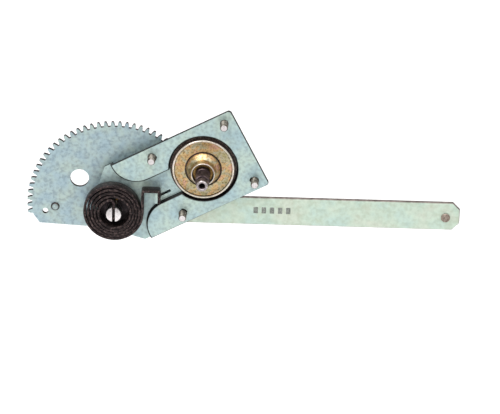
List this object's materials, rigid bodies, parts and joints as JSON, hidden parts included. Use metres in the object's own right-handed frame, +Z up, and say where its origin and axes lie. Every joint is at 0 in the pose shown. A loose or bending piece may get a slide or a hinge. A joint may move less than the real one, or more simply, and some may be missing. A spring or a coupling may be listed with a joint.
{
  "type": "window regulator",
  "caption": "Hand-cranked window regulator: serrated spindle, wrap-spring brake, pinion and toothed sector swing a flat lift arm with a roller; a spiral spring balances the glass.",
  "frame": {"origin": "where the crank spindle's axis meets the mounting face of the base plate's raised land", "axes": "+X along the lift arm towards its roller, +Z up, -Y along the spindle towards the crank handle, +Y towards the glass"},
  "size_m": [0.3351, 0.0547, 0.1094],
  "materials": {
    "zinc_plate": "bright zinc plate, faint blue-green passivation",
    "zinc_sector": "zinc plate, bluish and slightly mottled",
    "zinc_arm": "zinc plate, pale green tint",
    "bright_steel": "bright zinc",
    "yellow_zinc": "yellow-passivated zinc with iridescent patches",
    "dark_steel": "oil-blackened steel",
    "spring_steel": "oil-tempered spring strip, brown-black",
    "bronze": "oiled sintered bronze",
    "nylon": "natural nylon"
  },
  "bodies": {
    "base": {"base_plate": "zinc_plate", "mount_stud_1": "bright_steel", "mount_stud_2": "bright_steel", "mount_stud_3": "bright_steel", "mount_stud_4": "bright_steel", "brake_drum": "yellow_zinc", "brake_cover": "yellow_zinc", "drum_bush": "bronze", "spindle_bush": "bronze", "pivot_bush": "bronze", "balance_spring": "spring_steel"},
    "sector": {"sector_gear": "zinc_sector", "lift_arm": "zinc_arm", "arm_rivet_1": "bright_steel", "arm_rivet_2": "bright_steel", "stop_rivet": "bright_steel", "pivot_stud": "bright_steel", "pivot_clip": "dark_steel", "pivot_washer": "bright_steel", "roller_stud": "dark_steel", "roller_washer": "bright_steel"},
    "crank": {"crank_spindle": "dark_steel", "wrap_spring": "spring_steel", "input_dog": "bright_steel", "output_dog": "bright_steel", "drive_pinion": "dark_steel", "pinion_washer": "bright_steel", "spindle_clip": "dark_steel"},
    "roller": {"roller": "nylon"}
  },
  "joints": [
    {"name": "sector_swing", "type": "hinge", "parent": "base", "child": "sector", "pos_m": [-0.06799, 0.009, -0.03615], "axis": [0, -1, 0], "range_deg": [-120, 6], "deforming": ["balance_spring"]},
    {"name": "crank_turn", "type": "hinge", "parent": "base", "child": "crank", "pos_m": [0, 0, 0], "axis": [0, -1, 0], "range_deg": [-39, 762]},
    {"name": "roller_spin", "type": "hinge", "parent": "sector", "child": "roller", "pos_m": [0.18801, 0.0149, -0.03795], "axis": [0, -1, 0], "continuous": true}
  ],
  "couplings": [
    {"joint": "crank_turn", "follows": "sector_swing", "ratio": -6.3333}
  ]
}
